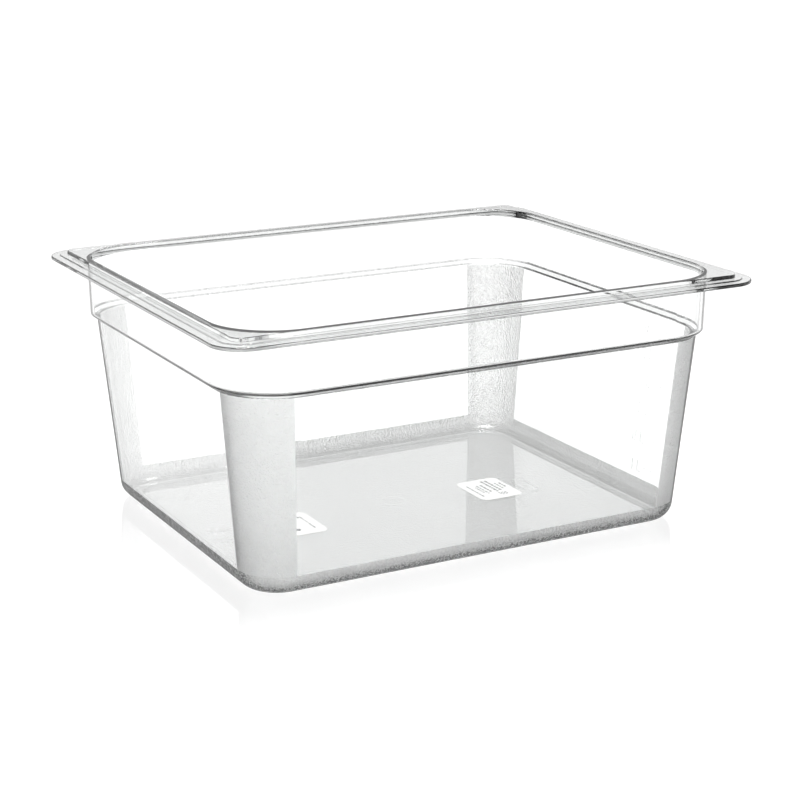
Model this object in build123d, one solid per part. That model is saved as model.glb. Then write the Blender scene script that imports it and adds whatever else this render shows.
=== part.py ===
"""Half-size (GN 1/2) clear polycarbonate food pan, 150 mm depth class.

Units are millimetres. +X is the long side, +Y the short side, +Z up.
The origin is the middle of the pan's footprint, at the level that it stands on.

Every wall of the body is a plain offset of the rim's outline: the corner arcs of the collar,
the shoulder, the lower wall and the bottom fillet share one vertical axis in each corner.
So a wall is fixed by its "inset", its distance inside the rim's outer edge.
"""
from build123d import *
from math import atan, cos, degrees, pi, tan
import os

# ---- driving dimensions -------------------------------------------------------------------
RIM_LENGTH = 325.0            # GN 1/2 outline, along X
RIM_WIDTH = 265.0             # GN 1/2 outline, along Y
OVERALL_HEIGHT = 146.0
CORNER_AXIS_INSET = 49.5      # inset of the vertical axis of each body corner
WALL = 2.5
BASE_THICKNESS = 2.8

# rim: a flat lip, a slightly raised band on it, and a kerb round the opening
RIM_CORNER_RADIUS = 18.0
LIP_UNDERSIDE = 141.4
LIP_TOP = 143.4
LIP_EDGE_ROUND = 0.7
BAND_INSET = 5.3
BAND_TOP = 144.0
KERB_INSET = 10.0
KERB_CORNER_RADIUS = 6.0
KERB_EDGE_ROUND = 0.6
OPENING_EDGE_ROUND = 1.1

# body: collar, stacking shoulder, tapered lower wall
COLLAR_TOP_INSET = 12.0
COLLAR_FOOT_INSET = 12.6
SHOULDER_TOP = 112.7
SHOULDER_FOOT = 110.2
LOWER_WALL_TOP_INSET = 16.4
LOWER_WALL_FOOT_INSET = 27.0  # where the wall's straight line would meet the standing plane
SHOULDER_ROUND = 1.4
SHOULDER_FOOT_ROUND = 0.9
BOTTOM_RADIUS = 10.0

# underside: a shallow recess leaves a narrow ring to stand on
RECESS_INSET = 40.0
RECESS_CORNER_RADIUS = 13.0
RECESS_DEPTH = 0.5
GATE_RADIUS = 7.5
GATE_DEPTH = 0.3
GATE_PIP_RADIUS = 1.5

# moulded marks
MARK_RELIEF = 0.3
MARK_STROKE = 0.8
GLYPH_HEIGHT = 6.0
GLYPH_HALF_WIDTH = 1.3
LITRE = 1.0e6                 # in cubic millimetres
QUART = 0.946353e6
MARKS_PER_SCALE = 6
# along the wall, from its middle: (tick, its length, numeral, unit letter)
LITRE_COLUMNS = (64.0, 8.0, 48.0, 55.5)
QUART_COLUMNS = (-104.5, 5.0, -95.0, -85.0)
SYMBOL_ARM = 5.2              # the six-armed freezer symbol on the base
SYMBOL_STROKE = 1.6
SYMBOL_CENTRE = (-111.0, 0.0)
SIZE_MARK_CENTRE = (-112.0, -17.0)
SIZE_MARK_STROKE = 1.2
SIZE_MARK_SPREAD = (4.0, 2.0)  # from the middle of the 1/2 to the middle of each numeral
SLASH_REACH = (2.5, 5.0)
BATCH_FRAME_CENTRE = (83.0, -13.0)
BATCH_FRAME_SIZE = (10.0, 26.0)
BATCH_FRAME_RADIUS = 3.0

# adhesive labels on the inside of the base
LABEL_LENGTH = 35.5
LABEL_WIDTH = 28.0
LABEL_CORNER_RADIUS = 4.5
LABEL_THICKNESS = 0.15
BARCODE_LABEL_CENTRE = (60.0, -10.0)
CARE_LABEL_CENTRE = (-70.0, -11.5)

# ---- dimensions worked out from the ones above --------------------------------------------
LOWER_TAPER = atan((LOWER_WALL_FOOT_INSET - LOWER_WALL_TOP_INSET) / SHOULDER_FOOT)
WALL_ACROSS = WALL / cos(LOWER_TAPER)
SHOULDER_SLOPE = atan((LOWER_WALL_TOP_INSET - COLLAR_FOOT_INSET) / (SHOULDER_TOP - SHOULDER_FOOT))
SHOULDER_RISE = WALL_ACROSS * tan(pi / 4 - SHOULDER_SLOPE / 2)  # inner shoulder above the outer
INNER_SHOULDER_TOP = SHOULDER_TOP + SHOULDER_RISE
INNER_SHOULDER_FOOT = SHOULDER_FOOT + SHOULDER_RISE
INNER_FOOT_INSET = LOWER_WALL_FOOT_INSET + WALL_ACROSS - BASE_THICKNESS * tan(LOWER_TAPER)
CUT_MARGIN = 5.0              # how far a cutting solid runs past the face it cuts
LAYER = 0.05                  # thickness of the layers that the scales are worked out from
LEVEL_TOLERANCE = 0.01


def outline(inset, z, corner_radius=None):
    """A rounded rectangle at height z, a given distance inside the rim's outer edge."""
    radius = CORNER_AXIS_INSET - inset if corner_radius is None else corner_radius
    shape = RectangleRounded(RIM_LENGTH - 2 * inset, RIM_WIDTH - 2 * inset, radius)
    return Pos(0, 0, z) * shape


def flared_block(foot_inset, foot_z, top_inset, top_z):
    """A solid whose four walls lean out evenly from its foot to its top."""
    lean = degrees(atan((foot_inset - top_inset) / (top_z - foot_z)))
    return extrude(outline(foot_inset, foot_z), top_z - foot_z, taper=-lean)


def plate(inset, bottom, top, corner_radius):
    """A flat layer of the rim."""
    return extrude(outline(inset, bottom, corner_radius), top - bottom)


def edges_at(solid, z):
    """The level edges of a solid at height z."""
    return solid.edges().filter_by_position(Axis.Z, z - LEVEL_TOLERANCE, z + LEVEL_TOLERANCE)


def body_block(levels, foot_round):
    """The collar, shoulder and lower wall as one filled solid, from its levels of (inset, z)."""
    block = Part()
    for (low_inset, low_z), (high_inset, high_z) in zip(levels, levels[1:]):
        block += flared_block(low_inset, low_z, high_inset, high_z)
    foot, shoulder_foot, shoulder_top = levels[0][1], levels[1][1], levels[2][1]
    block = fillet(edges_at(block, shoulder_top), SHOULDER_ROUND)
    block = fillet(edges_at(block, shoulder_foot), SHOULDER_FOOT_ROUND)
    return fillet(edges_at(block, foot), foot_round)


def outer_body():
    """Everything inside the pan's outer walls, up to the lip."""
    levels = [
        (LOWER_WALL_FOOT_INSET, 0.0),
        (LOWER_WALL_TOP_INSET, SHOULDER_FOOT),
        (COLLAR_FOOT_INSET, SHOULDER_TOP),
        (COLLAR_TOP_INSET, LIP_TOP),
    ]
    return body_block(levels, BOTTOM_RADIUS)


def food_space():
    """The hollow, from the inside of the base to just above the opening."""
    draft = (COLLAR_FOOT_INSET - COLLAR_TOP_INSET) / (LIP_TOP - SHOULDER_TOP)
    top = OVERALL_HEIGHT + CUT_MARGIN
    collar_foot = COLLAR_FOOT_INSET + WALL
    levels = [
        (INNER_FOOT_INSET, BASE_THICKNESS),
        (LOWER_WALL_TOP_INSET + WALL_ACROSS, INNER_SHOULDER_FOOT),
        (collar_foot, INNER_SHOULDER_TOP),
        (collar_foot - draft * (top - INNER_SHOULDER_TOP), top),
    ]
    return body_block(levels, BOTTOM_RADIUS - WALL)


def rim():
    """The lip, the band on it and the kerb, as filled plates."""
    lip = plate(0.0, LIP_UNDERSIDE, LIP_TOP, RIM_CORNER_RADIUS)
    lip = fillet(edges_at(lip, LIP_UNDERSIDE) + edges_at(lip, LIP_TOP), LIP_EDGE_ROUND)
    band = plate(BAND_INSET, LIP_UNDERSIDE + WALL / 2, BAND_TOP, RIM_CORNER_RADIUS - BAND_INSET)
    kerb = plate(KERB_INSET, LIP_UNDERSIDE + WALL / 2, OVERALL_HEIGHT, KERB_CORNER_RADIUS)
    kerb = fillet(edges_at(kerb, OVERALL_HEIGHT), KERB_EDGE_ROUND)
    return lip + band + kerb


def opening_edges(pan):
    """The edge loop round the mouth, at the top of the kerb."""
    reach = (RIM_LENGTH / 2 - COLLAR_TOP_INSET - WALL / 2, RIM_WIDTH / 2 - COLLAR_TOP_INSET - WALL / 2)
    level = edges_at(pan, OVERALL_HEIGHT)
    return level.filter_by(lambda edge: abs(edge.center().X) < reach[0] and abs(edge.center().Y) < reach[1])


def underside_cuts():
    """What is taken out of the underside: the recess, and the gate dimple inside it."""
    recess = extrude(outline(RECESS_INSET, -CUT_MARGIN, RECESS_CORNER_RADIUS), CUT_MARGIN + RECESS_DEPTH)
    gate = Pos(0, 0, RECESS_DEPTH) * Circle(GATE_RADIUS) - Pos(0, 0, RECESS_DEPTH) * Circle(GATE_PIP_RADIUS)
    return recess + extrude(gate, GATE_DEPTH)


def fill_heights(volume):
    """Depths of food at which the pan holds 1, 2, 3 ... times a volume, found in thin layers."""
    fillet_radius = BOTTOM_RADIUS - WALL
    corner_loss = 4 - pi
    heights = []
    depth, held = 0.0, 0.0
    while len(heights) < MARKS_PER_SCALE:
        inset = INNER_FOOT_INSET - depth * tan(LOWER_TAPER)
        if depth < fillet_radius:
            inset += fillet_radius - (fillet_radius ** 2 - (fillet_radius - depth) ** 2) ** 0.5
        corner_radius = CORNER_AXIS_INSET - inset
        area = (RIM_LENGTH - 2 * inset) * (RIM_WIDTH - 2 * inset) - corner_loss * corner_radius ** 2
        held += area * LAYER
        depth += LAYER
        if held >= (len(heights) + 1) * volume:
            heights.append(depth)
    return heights


def stroke(start, end, width=MARK_STROKE):
    """One straight bar of a moulded mark."""
    line = Line(start, end)
    bar = Rectangle(line.length + width, width)
    return Location(line @ 0.5) * Rot(0, 0, line.tangent_angle_at(0.5)) * bar


def glyph(letter, width=MARK_STROKE):
    """A plain seven-bar numeral or letter, its bars named a to g in the usual order."""
    w, h = GLYPH_HALF_WIDTH, GLYPH_HEIGHT / 2
    bars = {
        "a": ((-w, h), (w, h)),
        "b": ((w, h), (w, 0)),
        "c": ((w, 0), (w, -h)),
        "d": ((-w, -h), (w, -h)),
        "e": ((-w, 0), (-w, -h)),
        "f": ((-w, h), (-w, 0)),
        "g": ((-w, 0), (w, 0)),
    }
    lit = {
        "1": "bc",
        "2": "abged",
        "3": "abgcd",
        "4": "fgbc",
        "5": "afgcd",
        "6": "afgedc",
        "L": "fed",
        "q": "abfgc",
    }
    return [stroke(*bars[name], width) for name in lit[letter]]


def merged(shapes):
    """Several overlapping flat shapes as one sketch."""
    result = Sketch()
    for shape in shapes:
        result += shape
    return result


def scale_mark(number, unit, columns):
    """A tick with its numeral and unit letter, flat, drawn at its place along the wall."""
    tick_x, tick_length, numeral_x, unit_x = columns
    shapes = [Pos(tick_x, 0) * Rectangle(tick_length, MARK_STROKE)]
    shapes += [Pos(numeral_x, 0) * bar for bar in glyph(str(number))]
    shapes += [Pos(unit_x, 0) * bar for bar in glyph(unit)]
    return merged(shapes)


def wall_scale(volume, unit, columns, foot, turn):
    """A scale standing proud of the outside of a wall, reversed there so that it reads from inside.

    foot: how far the wall's straight line is from the pan's middle at the standing plane.
    turn: the wall's direction, in degrees from +X.
    """
    lean = tan(LOWER_TAPER)
    marks = Part()
    for number, height in enumerate(fill_heights(volume), start=1):
        face = Plane(origin=(foot + height * lean, 0, height), x_dir=(0, -1, 0), z_dir=(-1, 0, lean))
        marks += extrude(face * scale_mark(number, unit, columns), MARK_RELIEF, both=True)
    return Rot(0, 0, turn) * marks


def wall_marks():
    """Litres on the +X wall and quarts on the +Y wall."""
    litres = wall_scale(LITRE, "L", LITRE_COLUMNS, RIM_LENGTH / 2 - LOWER_WALL_FOOT_INSET, 0)
    quarts = wall_scale(QUART, "q", QUART_COLUMNS, RIM_WIDTH / 2 - LOWER_WALL_FOOT_INSET, 90)
    return litres + quarts


def base_marks():
    """Marks cut in the recess, turned so that they read from inside the pan."""
    arm = ((-SYMBOL_ARM, 0), (SYMBOL_ARM, 0))
    bars = [Pos(*SYMBOL_CENTRE) * Rot(0, 0, turn) * stroke(*arm, SYMBOL_STROKE) for turn in (0, 60, 120)]
    spread_x, spread_y = SIZE_MARK_SPREAD
    slash_x, slash_y = SLASH_REACH
    half = [Pos(-spread_x, spread_y) * bar for bar in glyph("1", SIZE_MARK_STROKE)]
    half += [Pos(spread_x, -spread_y) * bar for bar in glyph("2", SIZE_MARK_STROKE)]
    half.append(stroke((-slash_x, -slash_y), (slash_x, slash_y), SIZE_MARK_STROKE))
    bars += [Pos(*SIZE_MARK_CENTRE) * Rot(0, 0, -90) * bar for bar in half]
    length, width = BATCH_FRAME_SIZE
    window = RectangleRounded(
        length - 2 * MARK_STROKE, width - 2 * MARK_STROKE, BATCH_FRAME_RADIUS - MARK_STROKE
    )
    bars.append(Pos(*BATCH_FRAME_CENTRE) * (RectangleRounded(length, width, BATCH_FRAME_RADIUS) - window))
    return extrude(Pos(0, 0, RECESS_DEPTH) * merged(bars), MARK_RELIEF)


def pan():
    """The one-piece moulding."""
    solid = outer_body() + rim() - food_space()
    solid = fillet(opening_edges(solid), OPENING_EDGE_ROUND)
    return solid - underside_cuts() - base_marks() + wall_marks()


def label(centre):
    """A paper label stuck flat on the inside of the base."""
    shape = RectangleRounded(LABEL_WIDTH, LABEL_LENGTH, LABEL_CORNER_RADIUS)
    return extrude(Pos(*centre, BASE_THICKNESS) * shape, LABEL_THICKNESS)


def main():
    os.makedirs("parts", exist_ok=True)
    nodes = {
        "pan": pan(),
        "barcode_label": label(BARCODE_LABEL_CENTRE),
        "care_label": label(CARE_LABEL_CENTRE),
    }
    for name, shape in nodes.items():
        export_step(shape, os.path.join("parts", name + ".step"))


main()
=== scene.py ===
"""The looks of the clear half-size food pan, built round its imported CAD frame.

Lengths are millimetres until a mesh is made, as in the CAD. X runs along the pan's long side.
Walls are given by their inset, the distance inside the rim's outer edge.
"""
from collections import namedtuple
from math import asin, atan2, cos, degrees, hypot, pi, radians, sin, tan

import bpy
from mathutils import Matrix, Vector
from mathutils.geometry import delaunay_2d_cdt


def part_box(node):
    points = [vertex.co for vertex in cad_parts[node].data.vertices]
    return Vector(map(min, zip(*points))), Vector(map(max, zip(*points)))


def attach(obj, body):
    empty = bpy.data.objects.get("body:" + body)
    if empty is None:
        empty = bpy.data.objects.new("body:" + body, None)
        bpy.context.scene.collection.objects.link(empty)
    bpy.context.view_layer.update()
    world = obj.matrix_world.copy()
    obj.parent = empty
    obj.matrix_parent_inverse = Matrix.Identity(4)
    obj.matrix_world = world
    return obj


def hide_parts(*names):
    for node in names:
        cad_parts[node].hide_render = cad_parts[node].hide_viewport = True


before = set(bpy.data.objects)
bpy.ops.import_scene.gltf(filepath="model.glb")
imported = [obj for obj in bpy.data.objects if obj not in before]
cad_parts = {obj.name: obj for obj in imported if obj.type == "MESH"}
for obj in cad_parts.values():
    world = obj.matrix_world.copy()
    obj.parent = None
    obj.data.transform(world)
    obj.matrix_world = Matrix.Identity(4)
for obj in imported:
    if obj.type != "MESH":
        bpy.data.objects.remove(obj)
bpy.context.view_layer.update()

MM = 0.001

# ---- sizes, from the frame where it holds them ---------------------------------------------
low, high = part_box("pan")
LENGTH = (high.x - low.x) / MM
WIDTH = (high.y - low.y) / MM
HEIGHT = high.z / MM

BODY_AXIS = 49.5            # inset of the vertical axis that each body corner turns about
LIP_AXIS = 18.0
KERB_AXIS = 16.0
RECESS_AXIS = 53.0
WALL = 2.5
FLOOR = 2.8                 # thickness of the base
LIP_UNDERSIDE = 141.4       # heights of the rim's steps
LIP_TOP = 143.4
BAND_TOP = 144.0
BAND_INSET = 5.3
KERB_INSET = 10.0
COLLAR_TOP = 12.0           # insets down the outside
COLLAR_FOOT = 12.6
WALL_TOP = 16.4
WALL_FOOT = 27.0
SHOULDER_TOP = 112.7        # heights
SHOULDER_FOOT = 110.2
BOTTOM_RADIUS = 10.0
LIP_ROUND = 0.7             # roundings
SHOULDER_ROUND = 1.4
SHOULDER_FOOT_ROUND = 0.9
OPENING_ROUND = 1.1
KERB_ROUND = 0.6
FINE_ROUND = 0.25
RECESS_INSET = 40.0
RECESS_DEPTH = 0.5
FLAT_INSET = 44.0           # inside this the floor and the underside are flat

TAPER = (WALL_FOOT - WALL_TOP) / SHOULDER_FOOT
WALL_ACROSS = WALL * hypot(1, TAPER)
SHOULDER_SLOPE = atan2(WALL_TOP - COLLAR_FOOT, SHOULDER_TOP - SHOULDER_FOOT)
INNER_RISE = WALL_ACROSS * tan(pi / 4 - SHOULDER_SLOPE / 2)

# ---- steps of the mesh -----------------------------------------------------------------------
ARC_STEP = radians(9)       # of the profile's roundings
CORNER_STEPS = 28           # round one corner of the pan
SHORT_STEP = 0.6            # a step of the profile shorter than this is part of a rounded edge
TOLERANCE = 0.01

# ---- frosted zones: the corners below the shoulder, the bottom radius and the base ----------
WINDOW_FOOT = 11.5
FROST_TOP = 109.0
FROST_LIMIT = FROST_TOP + 0.8               # height that no frosted row passes
PANEL_NARROWING = 4.5       # how much the frosted corner narrows from the foot to the top
LEAST_NARROWING = 0.05      # share of it left at the foot, where the panel is widest
PLAIN_START = radians(8)    # where a panel would start on the rows that have none
MATTE_INSET = WALL_FOOT + BOTTOM_RADIUS - 3.0   # the bottom radius is matte inside this

# ---- surface finishes and painted shade: (depth of grain, painted grey shade, how much painted shade a steep view adds) -----
# a painted grey shade below zero makes the face opaque white instead, a painted highlight
CLEAR = (0.0, 0.0, 0.0)
# clear, with painted shade where the wall is seen at a steep view
CLEAR_WALL = (0.0, 0.0, 1.0)
# painted shade: a near-black line along fine rounded edges
PAINTED_DARK_EDGE = (0.0, 4.0, 1.0)
# grey painted shade on the moulded marks, so the clear relief shows
FAINT_MARK = (0.0, 1.2, 1.0)
# matte and grained frosting, with a little painted grey shade
MATTE = (0.25, 0.04, 0.0)
GRAINED = (1.0, 0.26, 1.0)
# grained, with heavy painted shade: the dark bottom radius
GRAIN_WITH_PAINTED_SHADE = (1.0, 1.7, 0.0)
# the gate's face: matte, with painted grey shade
GATE_FACE = (0.25, 0.6, 0.0)
# painted highlight: opaque white faces for the glinting marks under the base
WHITE_PAINTED_HIGHLIGHT = (0.25, -1.0, 0.0)
PAPER = (0.0, 0.0, 0.0)
INK = (1.0, 0.0, 0.0)       # on the labels the first value is ink

# ---- moulded marks ---------------------------------------------------------------------------
LITRE = 1.0e6               # cubic millimetres
QUART = 0.946353e6
LAYER = 0.05                # thickness of the layers that the capacity is added up in
MARKS_PER_SCALE = 6
MARK_RELIEF = 0.3
MARK_STROKE = 0.8
GLYPH_HEIGHT = 6.0
GLYPH_HALF_WIDTH = 1.3
# along the wall, from its middle: (tick, its length, numeral, unit letter)
LITRE_COLUMNS = (64.0, 8.0, 48.0, 55.5)
QUART_COLUMNS = (-104.5, 5.0, -95.0, -85.0)
SYMBOL_CENTRE = (-111.0, 0.0)
SYMBOL_ARM = 5.2
SYMBOL_STROKE = 1.6
SIZE_MARK_CENTRE = (-112.0, -17.0)
SIZE_MARK_STROKE = 1.2
NUMERAL_OFFSET = (4.0, 2.0)     # of the size mark's two numerals from its middle
SLASH_REACH = (2.5, 5.0)        # of the stroke between them
BATCH_FRAME_CENTRE = (83.0, -13.0)
BATCH_FRAME_REACH = (4.6, 12.6)
BATCH_FRAME_RADIUS = 3.0
GATE_DIMPLE = (4.25, 5.5)       # ring of the gate mark: middle radius, width
GATE_OUTLINE = (7.25, 0.5)

# ---- labels ----------------------------------------------------------------------------------
LABEL_CORNER = 4.5
LABEL_ROUND = 0.05
LABEL_GAP = 0.01            # left under a label so that paper and plastic faces don't coincide
WORD_GAP = 0.8
# rows of word-like bars: (place across the label, top, width, lengths of the words)
BARCODE_ROWS = (
    (-10.0, 9.5, 0.9, (2.4, 1.6, 3.0, 1.2, 2.6, 2.0, 2.8)),
    (-6.2, 5.5, 0.9, (1.2, 3.2, 1.6, 2.2)),
    (-4.2, 8.0, 0.9, (3.4, 1.8, 2.6, 3.0, 1.4)),
    (-1.4, 8.0, 1.3, (2.8, 3.6, 2.0, 2.4)),
    (2.4, 14.0, 1.5, (3.0, 1.2, 3.4, 2.0, 1.4, 3.2, 1.6)),
    (5.2, 14.0, 1.5, (3.8, 1.8, 3.0, 1.6, 2.2, 2.8)),
    (8.2, 7.5, 1.0, (1.8, 2.6, 1.4, 2.2)),
    (11.0, 7.0, 1.3, (2.4, 1.4, 2.6)),
)
CARE_ROWS = (
    (8.2, 12.0, 0.9, (1.6, 2.4, 1.4)),
    (8.2, 3.2, 0.9, (1.2, 1.0)),
    (8.2, -2.0, 0.9, (2.4, 1.6, 2.6)),
)
# the block of squares, by column and line
SQUARES = ((0, 0), (2, 0), (1, 1), (3, 1), (0, 2), (2, 2), (3, 3), (1, 3), (4, 2), (4, 0))
SQUARES_CORNER = (1.6, -9.0)
SQUARE = 1.0
SQUARE_PITCH = 1.1
DOT_RADIUS = 2.2
DOT_CENTRE = (-2.6, -9.0)

# ---- looks of the plastic and the paper, in metres -------------------------------------------
PLASTIC_IOR = 1.585
PLASTIC_TINT = (0.99, 0.995, 0.993, 1)
# painted shade: the dark grey that frosted faces and edges are blended towards
PAINTED_SHADE_TINT = (0.04, 0.041, 0.041, 1)
# painted shade: faces seen at a steep view are blended towards this dark
STEEP_SHADE_TINT = (0.01, 0.01, 0.01, 1)
BODY_TINT = (0.0, 0.03, 0.02, 1)
ABSORPTION = 12.0           # per metre
GRAIN_SCALE = 1000.0        # pebbles per metre
GRAIN_HEIGHT = 0.0012
GRAIN_ROUGHNESS = 0.35
LEAST_GRAIN = 0.1           # a depth of grain above this roughens the face
PEBBLE_RANGE = (0.42, 0.58)     # of the noise, from between the pebbles to their tops
PEBBLE_SHADE = (1.0, 0.25)      # how much of the painted shade shows there
TURNED_RANGE = (0.15, 0.7)      # painted shade: faces darken as they turn away from the view
TURNED_SHADE = (0.12, 1.0)
STEEP_FROM = (0.80, 0.70)       # where the painted shade at a steep view starts: rim, walls
STEEP_TO = (0.86, 0.78)         # where it is complete
FIBRE_SCALE = 2600.0
FIBRE_HEIGHT = 0.00005
PAPER_TONES = ((0.86, 0.86, 0.85, 1), (0.93, 0.93, 0.925, 1))
PAPER_ROUGHNESS = 0.55
INK_TINT = (0.2, 0.2, 0.205, 1)

# ---- stage, in metres ------------------------------------------------------------------------
FLOOR_HALF = 30.0
FLOOR_DROP = 0.0002         # below the pan's foot, so that the faces don't coincide
FLOOR_TINT = (0.3, 0.3, 0.3, 1)
FLOOR_ROUGHNESS = 0.08
FLOOR_GLOW = 0.77
# the backdrop's brightness against the sine of elevation
SKY_BANDS = (
    (0.09, 1.2),
    (0.15, 0.6),
    (0.27, 0.6),
    (0.29, 1.6),
    (0.40, 1.6),
    (0.44, 0.15),
)
BACKDROP_SEEN = (1.1, 1.1, 1.1, 1)
SOFTBOX_SIZE = 0.9
SOFTBOX_POWER = 34.0
SOFTBOX_PLACE = (0.1, 0.1, 1.8)
CAMERA_PLACE = (-0.5167, -0.9582, 0.2356)   # from the pan's middle, level with the lip's underside
CAMERA_TILT = 16.06         # degrees down
CAMERA_TURN = -28.58
CAMERA_LENS = 87.57
SENSOR = 36.0
LIGHT_BOUNCES = 32

Row = namedtuple("Row", "inset z axis normal")


# ---- mesh building -------------------------------------------------------------------------
class Skin:
    """Gathers faces with a true surface normal at every corner, then makes one mesh."""

    def __init__(self):
        self.points = []
        self.faces = []
        self.normals = []
        self.finishes = []

    def point(self, position):
        """Adds a point and gives its number."""
        self.points.append(tuple(position))
        return len(self.points) - 1

    def face(self, corners, normals, finish):
        """Adds a face from the numbers of its corners, with a normal for each."""
        self.faces.append(tuple(corners))
        self.normals.extend(tuple(normal) for normal in normals)
        self.finishes.append(finish)

    def flat_face(self, corners, normal, finish):
        """Adds a face with the same normal all over."""
        self.face(corners, [normal] * len(corners), finish)

    def build(self, name, material):
        """Makes the object. Each face's finish and painted shade go with it as attributes that the
        material reads.
        """
        mesh = bpy.data.meshes.new(name)
        scaled = [tuple(MM * value for value in point) for point in self.points]
        mesh.from_pydata(scaled, [], self.faces)
        mesh.materials.append(material)
        for attribute, values in zip(("grain", "painted_shade_and_highlight", "outline"), zip(*self.finishes)):
            mesh.attributes.new(attribute, "FLOAT", "FACE").data.foreach_set("value", values)
        mesh.polygons.foreach_set("use_smooth", [True] * len(self.faces))
        mesh.normals_split_custom_set(self.normals)
        mesh.update()
        piece = bpy.data.objects.new(name, mesh)
        bpy.context.scene.collection.objects.link(piece)
        return piece


def rounded_profile(corners):
    """Rows along a path whose corners (inset, z, radius, axis) are rounded."""
    rows = []
    for number, (inset, z, radius, axis) in enumerate(corners):
        here = Vector((inset, z))
        before = Vector(corners[max(number - 1, 0)][:2])
        after = Vector(corners[min(number + 1, len(corners) - 1)][:2])
        arriving = (here - before).normalized() if number else (after - here).normalized()
        leaving = (after - here).normalized() if number < len(corners) - 1 else arriving
        turn = arriving.x * leaving.y - arriving.y * leaving.x
        angle = atan2(turn, arriving.dot(leaving))
        if radius == 0:
            rows.append(Row(inset, z, axis, (leaving.y, -leaving.x)))
            continue
        setback = radius * tan(abs(angle) / 2)
        side = Vector((-arriving.y, arriving.x)) * (1 if angle > 0 else -1)
        centre = here - arriving * setback + side * radius
        pieces = max(3, round(abs(angle) / ARC_STEP))
        for k in range(pieces + 1):
            direction = Matrix.Rotation(angle * k / pieces, 2) @ arriving
            spoke = Matrix.Rotation(angle * k / pieces, 2) @ -side
            spot = centre + spoke * radius
            rows.append(Row(spot.x, spot.y, axis, (direction.y, -direction.x)))
    return rows


def panel_start(inset, z, axis):
    """How far round a corner's arc the frosted panel starts, in radians."""
    if axis != BODY_AXIS:
        return PLAIN_START
    rise = min(max((z - WINDOW_FOOT) / (FROST_TOP - WINDOW_FOOT), LEAST_NARROWING), 1)
    return asin(PANEL_NARROWING * rise / (axis - inset))


def corner_angles(start):
    """Angles of the stations round one corner, from one wall to the next."""
    inner = [start + (pi / 2 - 2 * start) * k / CORNER_STEPS for k in range(CORNER_STEPS + 1)]
    return [0, start / 2] + inner + [pi / 2 - start / 2, pi / 2]


STATIONS = len(corner_angles(PLAIN_START))
PANEL_STATIONS = range(2, 2 + CORNER_STEPS)


def corner_signs():
    """The four corners, anticlockwise from +X +Y: the number of quarter turns, and the sides."""
    return enumerate(((1, 1), (-1, 1), (-1, -1), (1, -1)))


def ring(row):
    """The points of one level loop, and the outward direction at each."""
    radius = row.axis - row.inset
    points, outward = [], []
    for turn, (side_x, side_y) in corner_signs():
        centre = (side_x * (LENGTH / 2 - row.axis), side_y * (WIDTH / 2 - row.axis))
        for angle in corner_angles(panel_start(row.inset, row.z, row.axis)):
            direction = (cos(angle + turn * pi / 2), sin(angle + turn * pi / 2))
            points.append((centre[0] + radius * direction[0], centre[1] + radius * direction[1], row.z))
            outward.append(direction)
    return points, outward


def flat_patch(skin, border, origin, along, normal, plain, marks=(), relief=0):
    """Fills a flat convex border, with shapes raised (or sunk, for a negative relief) from it.

    border: point numbers in the skin, anticlockwise seen from outside. plain: the face's finish.
    marks: pairs of (flat polygons in the plane's own coordinates, their finish).
    """
    origin, along, normal = Vector(origin), Vector(along).normalized(), Vector(normal).normalized()
    across = normal.cross(along)
    flat = []
    for number in border:
        offset = Vector(skin.points[number]) - origin
        flat.append(Vector((offset.dot(along), offset.dot(across))))
    outlines = [list(range(len(border)))]
    finishes = [plain]
    for shapes, finish in marks:
        for shape in shapes:
            outlines.append(list(range(len(flat), len(flat) + len(shape))))
            finishes.append(finish)
            flat.extend(Vector(point) for point in shape)
    spots, _, faces, source, _, owners = delaunay_2d_cdt(flat, [], outlines, 0, 1e-5)
    numbers = []
    for spot, origins in zip(spots, source):
        known = [n for n in origins if n < len(border)]
        place = origin + along * spot.x + across * spot.y
        numbers.append(border[known[0]] if known else skin.point(place))
    lift = normal * relief
    raised, walls = {}, {}
    for face, owner in zip(faces, owners):
        finish = finishes[max(owner)]
        if max(owner) == 0:
            skin.flat_face([numbers[n] for n in face], normal, plain)
            continue
        for n in face:
            if n not in raised:
                raised[n] = skin.point(Vector(skin.points[numbers[n]]) + lift) if relief else numbers[n]
        skin.flat_face([raised[n] for n in face], normal, finish)
        for a, b in zip(face, face[1:] + face[:1]):
            walls[(a, b)] = finish
    if not relief:
        return
    for (a, b), finish in walls.items():
        if (b, a) in walls:
            continue
        edge = spots[b] - spots[a]
        facing = (along * edge.y - across * edge.x).normalized() * (1 if relief > 0 else -1)
        skin.flat_face([numbers[a], numbers[b], raised[b], raised[a]], facing, finish)


# ---- flat shapes for marks and print --------------------------------------------------------
def moved(shapes, x=0.0, y=0.0, angle=0.0):
    """Shapes turned by an angle in degrees, then shifted."""
    c, s = cos(radians(angle)), sin(radians(angle))
    return [[(x + c * u - s * v, y + s * u + c * v) for u, v in shape] for shape in shapes]


def mirrored(shapes):
    """Shapes laid out for a reader on the far side of the face that carries them."""
    return [[(-x, y) for x, y in reversed(shape)] for shape in shapes]


def bar(width, height):
    """A rectangle about the origin."""
    x, y = width / 2, height / 2
    return [[(-x, -y), (x, -y), (x, y), (-x, y)]]


def disc(radius, sides=40):
    """A round shape about the origin."""
    return [[(radius * cos(2 * pi * k / sides), radius * sin(2 * pi * k / sides)) for k in range(sides)]]


def hoop(radius, width, sides=48):
    """A flat ring about the origin, as short pieces."""
    inner, outer = radius - width / 2, radius + width / 2
    pieces = []
    for k in range(sides):
        a, b = 2 * pi * k / sides, 2 * pi * (k + 1) / sides
        corners = ((inner, a), (outer, a), (outer, b), (inner, b))
        pieces.append([(r * cos(t), r * sin(t)) for r, t in corners])
    return pieces


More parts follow.
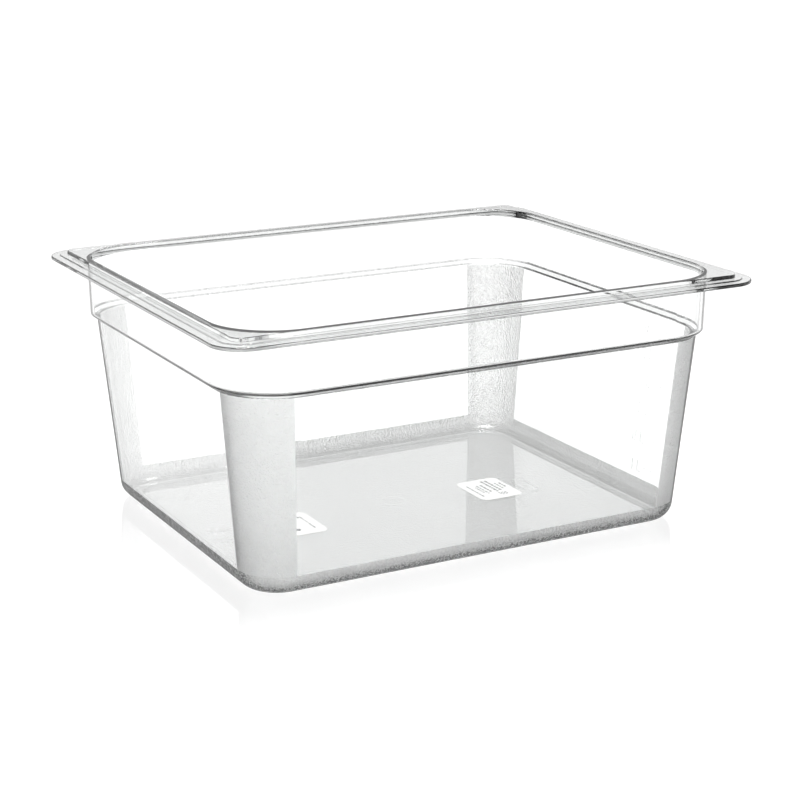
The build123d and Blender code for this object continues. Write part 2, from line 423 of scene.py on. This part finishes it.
def stroke(start, end, width=MARK_STROKE):
    """One straight bar of a moulded mark, as a list of one shape."""
    (x0, y0), (x1, y1) = start, end
    length = hypot(x1 - x0, y1 - y0) + width
    return moved(bar(length, width), (x0 + x1) / 2, (y0 + y1) / 2, degrees(atan2(y1 - y0, x1 - x0)))


def glyph(letter, width=MARK_STROKE):
    """A plain seven-bar numeral or letter, its bars named a to g in the usual order."""
    w, h = GLYPH_HALF_WIDTH, GLYPH_HEIGHT / 2
    bars = {
        "a": ((-w, h), (w, h)),
        "b": ((w, h), (w, 0)),
        "c": ((w, 0), (w, -h)),
        "d": ((-w, -h), (w, -h)),
        "e": ((-w, 0), (-w, -h)),
        "f": ((-w, h), (-w, 0)),
        "g": ((-w, 0), (w, 0)),
    }
    lit = {
        "1": "bc",
        "2": "abged",
        "3": "abgcd",
        "4": "fgbc",
        "5": "afgcd",
        "6": "afgedc",
        "L": "fed",
        "q": "abfgc",
    }
    return [shape for name in lit[letter] for shape in stroke(*bars[name], width)]


# ---- the pan ---------------------------------------------------------------------------------
def outside_inset(z):
    """Inset of the lower wall's outer face at height z."""
    return WALL_FOOT - TAPER * z


def fill_heights(volume):
    """Depths of food at which the pan holds 1, 2, 3 ... of a volume, found in thin layers."""
    fillet = BOTTOM_RADIUS - WALL
    heights, depth, held = [], 0.0, 0.0
    while len(heights) < MARKS_PER_SCALE:
        inset = outside_inset(FLOOR + depth) + WALL_ACROSS
        if depth < fillet:
            inset += fillet - (fillet ** 2 - (fillet - depth) ** 2) ** 0.5
        radius = BODY_AXIS - inset
        area = (LENGTH - 2 * inset) * (WIDTH - 2 * inset) - (4 - pi) * radius ** 2
        held += area * LAYER
        depth += LAYER
        if held >= (len(heights) + 1) * volume:
            heights.append(depth)
    return heights


def pan_profile():
    """The pan's section: from the floor up the inside, over the rim and back underneath."""
    inner_shoulder_top = SHOULDER_TOP + INNER_RISE
    inner_shoulder_foot = SHOULDER_FOOT + INNER_RISE
    draft = (COLLAR_FOOT - COLLAR_TOP) / (LIP_UNDERSIDE - SHOULDER_TOP)
    opening = COLLAR_FOOT + WALL - draft * (HEIGHT - inner_shoulder_top)
    return rounded_profile([
        (FLAT_INSET, FLOOR, 0, BODY_AXIS),
        (outside_inset(FLOOR) + WALL_ACROSS, FLOOR, BOTTOM_RADIUS - WALL, BODY_AXIS),
        (WALL_TOP + WALL_ACROSS, inner_shoulder_foot, SHOULDER_FOOT_ROUND, BODY_AXIS),
        (COLLAR_FOOT + WALL, inner_shoulder_top, SHOULDER_ROUND, BODY_AXIS),
        (opening, HEIGHT, OPENING_ROUND, BODY_AXIS),
        (KERB_INSET, HEIGHT, KERB_ROUND, KERB_AXIS),
        (KERB_INSET, BAND_TOP, FINE_ROUND, KERB_AXIS),
        (BAND_INSET, BAND_TOP, FINE_ROUND, LIP_AXIS),
        (BAND_INSET, LIP_TOP, FINE_ROUND, LIP_AXIS),
        (0, LIP_TOP, LIP_ROUND, LIP_AXIS),
        (0, LIP_UNDERSIDE, LIP_ROUND, LIP_AXIS),
        (COLLAR_TOP, LIP_UNDERSIDE, FINE_ROUND, BODY_AXIS),
        (COLLAR_FOOT, SHOULDER_TOP, SHOULDER_ROUND, BODY_AXIS),
        (WALL_TOP, SHOULDER_FOOT, SHOULDER_FOOT_ROUND, BODY_AXIS),
        (outside_inset(WINDOW_FOOT), WINDOW_FOOT, 0, BODY_AXIS),
        (WALL_FOOT, 0, BOTTOM_RADIUS, BODY_AXIS),
        (RECESS_INSET, 0, FINE_ROUND, RECESS_AXIS),
        (RECESS_INSET + RECESS_DEPTH, RECESS_DEPTH, FINE_ROUND, RECESS_AXIS),
        (FLAT_INSET, RECESS_DEPTH, 0, RECESS_AXIS),
    ])


def scale_marks(volume, unit, columns):
    """A scale in the plane of a wall, laid out to be read from inside the pan, y up the wall."""
    tick_x, tick_length, numeral_x, unit_x = columns
    shapes = []
    for number, height in enumerate(fill_heights(volume), start=1):
        level = height * hypot(1, TAPER)
        shapes += moved(bar(tick_length, MARK_STROKE), tick_x, level)
        shapes += moved(glyph(str(number)), numeral_x, level)
        shapes += moved(glyph(unit), unit_x, level)
    return mirrored(shapes)


def scaled_walls():
    """The two walls with a scale, by column: the wall's foot, its direction, its normal, the scale."""
    right_foot = (LENGTH / 2 - WALL_FOOT, 0, 0)
    back_foot = (0, WIDTH / 2 - WALL_FOOT, 0)
    litres = scale_marks(LITRE, "L", LITRE_COLUMNS)
    quarts = scale_marks(QUART, "q", QUART_COLUMNS)
    return {
        4 * STATIONS - 1: (right_foot, (0, 1, 0), (1, 0, -TAPER), litres),
        STATIONS - 1: (back_foot, (-1, 0, 0), (0, 1, -TAPER), quarts),
    }


def base_marks():
    """Marks sunk in the underside, with the finish of each."""
    arm = stroke((-SYMBOL_ARM, 0), (SYMBOL_ARM, 0), SYMBOL_STROKE)
    star = [shape for turn in (0, 60, 120) for shape in moved(arm, angle=turn)]
    aside, up = NUMERAL_OFFSET
    half = moved(glyph("1", SIZE_MARK_STROKE), -aside, up)
    half += moved(glyph("2", SIZE_MARK_STROKE), aside, -up)
    slash_x, slash_y = SLASH_REACH
    half += stroke((-slash_x, -slash_y), (slash_x, slash_y), SIZE_MARK_STROKE)
    # the underside marks and the gate's outer ring are opaque white, painted highlights
    bright = moved(star, *SYMBOL_CENTRE) + moved(half, *SIZE_MARK_CENTRE, -90)
    reach_x, reach_y = BATCH_FRAME_REACH
    straight_x, straight_y = reach_x - BATCH_FRAME_RADIUS, reach_y - BATCH_FRAME_RADIUS
    for side in (-1, 1):
        upright = stroke((side * reach_x, -straight_y), (side * reach_x, straight_y))
        level = stroke((-straight_x, side * reach_y), (straight_x, side * reach_y))
        bright += moved(upright + level, *BATCH_FRAME_CENTRE)
    return [(mirrored(bright), WHITE_PAINTED_HIGHLIGHT), (hoop(*GATE_DIMPLE), GATE_FACE), (hoop(*GATE_OUTLINE), WHITE_PAINTED_HIGHLIGHT)]


def edge_kind(row, next_row):
    """Tells the rounded edges that are painted with a dark line of shade from the rest of the profile."""
    top = max(row.z, next_row.z)
    rounding = hypot(next_row.inset - row.inset, next_row.z - row.z) < SHORT_STEP
    if rounding and abs(top - SHOULDER_TOP) < 2 * WALL:
        return "fine edge"
    if max(row.inset, next_row.inset) < LIP_ROUND + TOLERANCE:
        return "fine edge" if top < LIP_UNDERSIDE + LIP_ROUND else "lip edge"
    return "face"


def finish_between(row, next_row, outer, panel):
    """The finish and painted shade of the faces between two rows, in a corner's frosted panel or out of
    it.
    """
    top = max(row.z, next_row.z)
    kind = edge_kind(row, next_row)
    # the bottom radius outside the matte base is grained and painted dark with shade
    if outer and top <= WINDOW_FOOT + TOLERANCE:
        return MATTE if row.inset > MATTE_INSET else GRAIN_WITH_PAINTED_SHADE
    if outer and panel and top <= FROST_LIMIT:
        return GRAINED
    # fine rounded edges are painted with a dark line of shade
    if kind == "fine edge":
        return PAINTED_DARK_EDGE
    return CLEAR_WALL if top < LIP_UNDERSIDE or kind == "lip edge" else CLEAR


def build_pan(material):
    """The whole moulding, swept round the rim's outline, closed by the floor and the underside."""
    profile = pan_profile()
    skin = Skin()
    grid, normals = [], []
    for row in profile:
        points, outward = ring(row)
        across, up = row.normal
        grid.append([skin.point(point) for point in points])
        normals.append([(-across * x, -across * y, up) for x, y in outward])
    lip_row = min(range(len(profile)), key=lambda n: profile[n].inset)
    around = len(grid[0])
    scales = scaled_walls()
    for i in range(len(profile) - 1):
        outer = i >= lip_row
        wall_row = outer and profile[i].z <= FROST_LIMIT and profile[i + 1].z == WINDOW_FOOT
        for j in range(around):
            k = (j + 1) % around
            corners = (grid[i][j], grid[i + 1][j], grid[i + 1][k], grid[i][k])
            if wall_row and j in scales:
                foot, along, facing, shapes = scales[j]
                # the scale's marks are painted grey with shade
                marks = [(shapes, FAINT_MARK)]
                flat_patch(skin, corners, foot, along, facing, CLEAR_WALL, marks, MARK_RELIEF)
                continue
            finish = finish_between(profile[i], profile[i + 1], outer, j % STATIONS in PANEL_STATIONS)
            face_normals = (normals[i][j], normals[i + 1][j], normals[i + 1][k], normals[i][k])
            skin.face(corners, face_normals, finish)
    flat_patch(skin, grid[0], (0, 0, FLOOR), (1, 0, 0), (0, 0, 1), CLEAR)
    underside = (0, 0, RECESS_DEPTH)
    flat_patch(skin, grid[-1][::-1], underside, (-1, 0, 0), (0, 0, -1), MATTE, base_marks(), -MARK_RELIEF)
    return skin.build("pan_moulding", material)


# ---- the labels ------------------------------------------------------------------------------
def rounded_outline(width, height, radius, steps=8):
    """A rounded rectangle about the origin, anticlockwise."""
    points = []
    for turn, (side_x, side_y) in corner_signs():
        for k in range(steps + 1):
            angle = (turn + k / steps) * pi / 2
            points.append((side_x * (width / 2 - radius) + radius * cos(angle),
                           side_y * (height / 2 - radius) + radius * sin(angle)))
    return points


def printed_rows(rows):
    """Rows of word-like bars, each running down the label from its top."""
    shapes = []
    for x, top, width, words in rows:
        for word in words:
            shapes += moved(bar(width, word), x, top - word / 2)
            top -= word + WORD_GAP
    return shapes


def barcode_print():
    """Generic print: rows of bars where the words would be, and a small block of squares."""
    shapes = printed_rows(BARCODE_ROWS)
    corner_x, corner_y = SQUARES_CORNER
    for column, line in SQUARES:
        square = bar(SQUARE, SQUARE)
        shapes += moved(square, corner_x + SQUARE_PITCH * column, corner_y - SQUARE_PITCH * line)
    return shapes


def care_print():
    """Generic print: one broken row of bars and a round dot."""
    return printed_rows(CARE_ROWS) + moved(disc(DOT_RADIUS), *DOT_CENTRE)


def build_label(name, shapes, material):
    """A thin paper plate on the base, printed on top."""
    low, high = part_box(name)
    centre_x, centre_y = (low.x + high.x) / 2 / MM, (low.y + high.y) / 2 / MM
    width, height = (high.x - low.x) / MM, (high.y - low.y) / MM
    top, bottom = high.z / MM, low.z / MM + LABEL_GAP
    skin = Skin()
    outline = rounded_outline(width, height, LABEL_CORNER)
    rings = []
    for z, inset in ((bottom, 0), (top - LABEL_ROUND, 0), (top, LABEL_ROUND)):
        shrink_x, shrink_y = 1 - 2 * inset / width, 1 - 2 * inset / height
        loop = [(centre_x + x * shrink_x, centre_y + y * shrink_y, z) for x, y in outline]
        rings.append([skin.point(point) for point in loop])
    around = len(outline)
    for lower, upper in zip(rings, rings[1:]):
        tilt = 1.0 if upper is rings[-1] else 0.0
        for j in range(around):
            k = (j + 1) % around
            x, y = outline[k][0] - outline[j][0], outline[k][1] - outline[j][1]
            facing = Vector((y, -x, tilt * hypot(x, y))).normalized()
            skin.flat_face((lower[j], lower[k], upper[k], upper[j]), facing, PAPER)
    print_marks = [(moved(shapes, centre_x, centre_y), INK)]
    flat_patch(skin, rings[-1], (0, 0, top), (1, 0, 0), (0, 0, 1), PAPER, print_marks)
    skin.flat_face(rings[0][::-1], (0, 0, -1), PAPER)
    piece = skin.build(name + "_print", material)
    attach(piece, "root")
    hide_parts(name)


# ---- materials -------------------------------------------------------------------------------
class Recipe:
    """A material with its Principled shader. The helpers add nodes and give their output sockets."""

    def __init__(self, name):
        self.material = bpy.data.materials.new(name)
        self.material.use_nodes = True
        self.tree = self.material.node_tree
        self.shader = self.tree.nodes["Principled BSDF"]
        self.link = self.tree.links.new

    def add(self, kind, **settings):
        """A node with some of its inputs and properties set."""
        node = self.tree.nodes.new(kind)
        for key, value in settings.items():
            if key in node.inputs:
                node.inputs[key].default_value = value
            else:
                setattr(node, key, value)
        return node

    def feed(self, socket, value):
        """Links another node's output to an input, or sets it to a constant."""
        if isinstance(value, bpy.types.NodeSocket):
            self.link(value, socket)
        else:
            socket.default_value = value

    def face_value(self, attribute):
        """One of the values of the face's finish and painted shade."""
        return self.add("ShaderNodeAttribute", attribute_name=attribute).outputs["Fac"]

    def noise(self, scale, detail, roughness):
        """A noise that stays put on the object."""
        place = self.add("ShaderNodeTexCoord")
        node = self.add("ShaderNodeTexNoise", Scale=scale, Detail=detail, Roughness=roughness)
        self.link(place.outputs["Object"], node.inputs["Vector"])
        return node.outputs["Fac"]

    def bump(self, height, strength, distance):
        """Lets a height push the shader's normal about."""
        node = self.add("ShaderNodeBump", Distance=distance)
        self.feed(node.inputs["Strength"], strength)
        self.feed(node.inputs["Height"], height)
        self.link(node.outputs["Normal"], self.shader.inputs["Normal"])

    def maths(self, operation, first, second, clamp=False):
        """One sum of two values."""
        node = self.add("ShaderNodeMath", operation=operation, use_clamp=clamp)
        self.feed(node.inputs[0], first)
        self.feed(node.inputs[1], second)
        return node.outputs["Value"]

    def remap(self, value, old=(0.0, 1.0), new=(0.0, 1.0), curve="LINEAR"):
        """A value carried from one range to another."""
        node = self.add("ShaderNodeMapRange", interpolation_type=curve)
        sockets = ("From Min", "From Max", "To Min", "To Max")
        for socket, limit in zip(sockets, (*old, *new)):
            self.feed(node.inputs[socket], limit)
        self.link(value, node.inputs["Value"])
        return node.outputs["Result"]

    def blend(self, factor, first, second):
        """A colour between two others."""
        node = self.add("ShaderNodeMix", data_type="RGBA")
        for number, value in ((0, factor), (6, first), (7, second)):
            self.feed(node.inputs[number], value)
        return node.outputs[2]


def cloudiness(recipe, pebbles, facing):
    """How much painted shade a face gets: more between the pebbles, and more where it turns away from the
    view.
    """
    between = recipe.remap(pebbles, PEBBLE_RANGE, PEBBLE_SHADE)
    turned = recipe.remap(facing, TURNED_RANGE, TURNED_SHADE, "SMOOTHSTEP")
    turned_shade = recipe.maths("MULTIPLY", recipe.face_value("painted_shade_and_highlight"), turned)
    return recipe.maths("MULTIPLY", turned_shade, between)


def steepness(recipe, facing):
    """How far painted shade darkens a face seen at a steep angle, sooner on the walls than on the rim."""
    outline = recipe.face_value("outline")
    limits = [recipe.remap(outline, new=limit) for limit in (STEEP_FROM, STEEP_TO)]
    return recipe.remap(facing, limits, curve="SMOOTHSTEP")


def pan_plastic():
    """Clear polycarbonate, with the finish and painted shade of each face read from the mesh."""
    recipe = Recipe("clear_polycarbonate")
    shader = recipe.shader
    shader.inputs["IOR"].default_value = PLASTIC_IOR
    # a negative value stops light passing, for the opaque white of the painted highlights
    see_through = recipe.maths("ADD", recipe.face_value("painted_shade_and_highlight"), 1.0, clamp=True)
    recipe.link(see_through, shader.inputs["Transmission Weight"])

    # moulded grain: pebbles about a millimetre across
    depth = recipe.face_value("grain")
    pebbles = recipe.noise(GRAIN_SCALE, detail=3.0, roughness=0.55)
    recipe.bump(pebbles, depth, GRAIN_HEIGHT)
    grained = recipe.maths("GREATER_THAN", depth, LEAST_GRAIN)
    recipe.link(recipe.remap(grained, new=(0.0, GRAIN_ROUGHNESS)), shader.inputs["Roughness"])

    # painted shade in the base colour: faces go grey to dark between the pebbles and as they turn away
    # from the view
    facing = recipe.add("ShaderNodeLayerWeight", Blend=0.5).outputs["Facing"]
    shade = recipe.blend(cloudiness(recipe, pebbles, facing), PLASTIC_TINT, PAINTED_SHADE_TINT)
    # painted shade at a steep view, the dark outlines of the walls and rim
    dim = recipe.blend(steepness(recipe, facing), shade, STEEP_SHADE_TINT)
    recipe.link(dim, shader.inputs["Base Color"])

    # thick sections seen edge on look grey
    body = recipe.add("ShaderNodeVolumeAbsorption", Density=ABSORPTION, Color=BODY_TINT)
    recipe.link(body.outputs["Volume"], recipe.tree.nodes["Material Output"].inputs["Volume"])
    return recipe.material


def paper():
    """White label paper, with faint fibres."""
    recipe = Recipe("label_paper")
    fibres = recipe.noise(FIBRE_SCALE, detail=4.0, roughness=0.65)
    tone = recipe.blend(fibres, *PAPER_TONES)
    inked = recipe.blend(recipe.face_value("grain"), tone, INK_TINT)
    recipe.link(inked, recipe.shader.inputs["Base Color"])
    recipe.bump(fibres, 0.3, FIBRE_HEIGHT)
    recipe.shader.inputs["Roughness"].default_value = PAPER_ROUGHNESS
    return recipe.material


def white_floor():
    """A glossy white that gives off a little light of its own."""
    recipe = Recipe("white_floor")
    recipe.shader.inputs["Base Color"].default_value = FLOOR_TINT
    recipe.shader.inputs["Roughness"].default_value = FLOOR_ROUGHNESS
    recipe.shader.inputs["Emission Color"].default_value = (1, 1, 1, 1)
    recipe.shader.inputs["Emission Strength"].default_value = FLOOR_GLOW
    return recipe.material


# ---- stage -----------------------------------------------------------------------------------
def build_floor():
    """A wide floor just under the pan."""
    mesh = bpy.data.meshes.new("floor")
    half = FLOOR_HALF
    corners = [(-half, -half, 0), (half, -half, 0), (half, half, 0), (-half, half, 0)]
    mesh.from_pydata(corners, [], [(0, 1, 2, 3)])
    floor = bpy.data.objects.new("floor", mesh)
    bpy.context.scene.collection.objects.link(floor)
    mesh.materials.append(white_floor())
    floor.location.z = -FLOOR_DROP


def build_world():
    """A white backdrop that ends low, with a dark ceiling above it. The camera sees plain white."""
    world = bpy.data.worlds.new("studio")
    bpy.context.scene.world = world
    world.use_nodes = True
    nodes, link = world.node_tree.nodes, world.node_tree.links.new
    place = nodes.new("ShaderNodeTexCoord")
    split = nodes.new("ShaderNodeSeparateXYZ")
    ramp = nodes.new("ShaderNodeValToRGB")
    link(place.outputs["Generated"], split.inputs[0])
    link(split.outputs["Z"], ramp.inputs["Fac"])
    ramp.color_ramp.elements.remove(ramp.color_ramp.elements[1])
    for number, (height, strength) in enumerate(SKY_BANDS):
        stop = ramp.color_ramp.elements.new(height) if number else ramp.color_ramp.elements[0]
        stop.position = height
        stop.color = (strength, strength, strength, 1)
    path = nodes.new("ShaderNodeLightPath")
    seen = nodes.new("ShaderNodeMix")
    seen.data_type = "RGBA"
    seen.inputs[7].default_value = BACKDROP_SEEN
    link(path.outputs["Is Camera Ray"], seen.inputs[0])
    link(ramp.outputs["Color"], seen.inputs[6])
    link(seen.outputs[2], nodes["Background"].inputs["Color"])


def build_light():
    """One soft light high over the pan."""
    light = bpy.data.lights.new("softbox", "AREA")
    light.size = SOFTBOX_SIZE
    light.energy = SOFTBOX_POWER
    holder = bpy.data.objects.new("softbox", light)
    holder.location = SOFTBOX_PLACE
    bpy.context.scene.collection.objects.link(holder)


def build_camera():
    """The camera, looking down at the pan from its front left."""
    camera = bpy.data.cameras.new("camera")
    camera.lens = CAMERA_LENS
    camera.sensor_width = SENSOR
    camera.clip_start = 0.01
    holder = bpy.data.objects.new("camera", camera)
    x, y, rise = CAMERA_PLACE
    holder.location = (x, y, rise + LIP_UNDERSIDE * MM)
    holder.rotation_euler = (radians(90 - CAMERA_TILT), 0, radians(CAMERA_TURN))
    bpy.context.scene.collection.objects.link(holder)
    bpy.context.scene.camera = holder


pan = build_pan(pan_plastic())
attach(pan, "root")
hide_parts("pan")
label_paper = paper()
build_label("barcode_label", barcode_print(), label_paper)
build_label("care_label", care_print(), label_paper)

build_floor()
build_world()
build_light()
build_camera()
bpy.context.scene.view_settings.view_transform = "Standard"
bpy.context.scene.cycles.max_bounces = LIGHT_BOUNCES
bpy.context.scene.cycles.transmission_bounces = LIGHT_BOUNCES

bpy.context.view_layer.update()
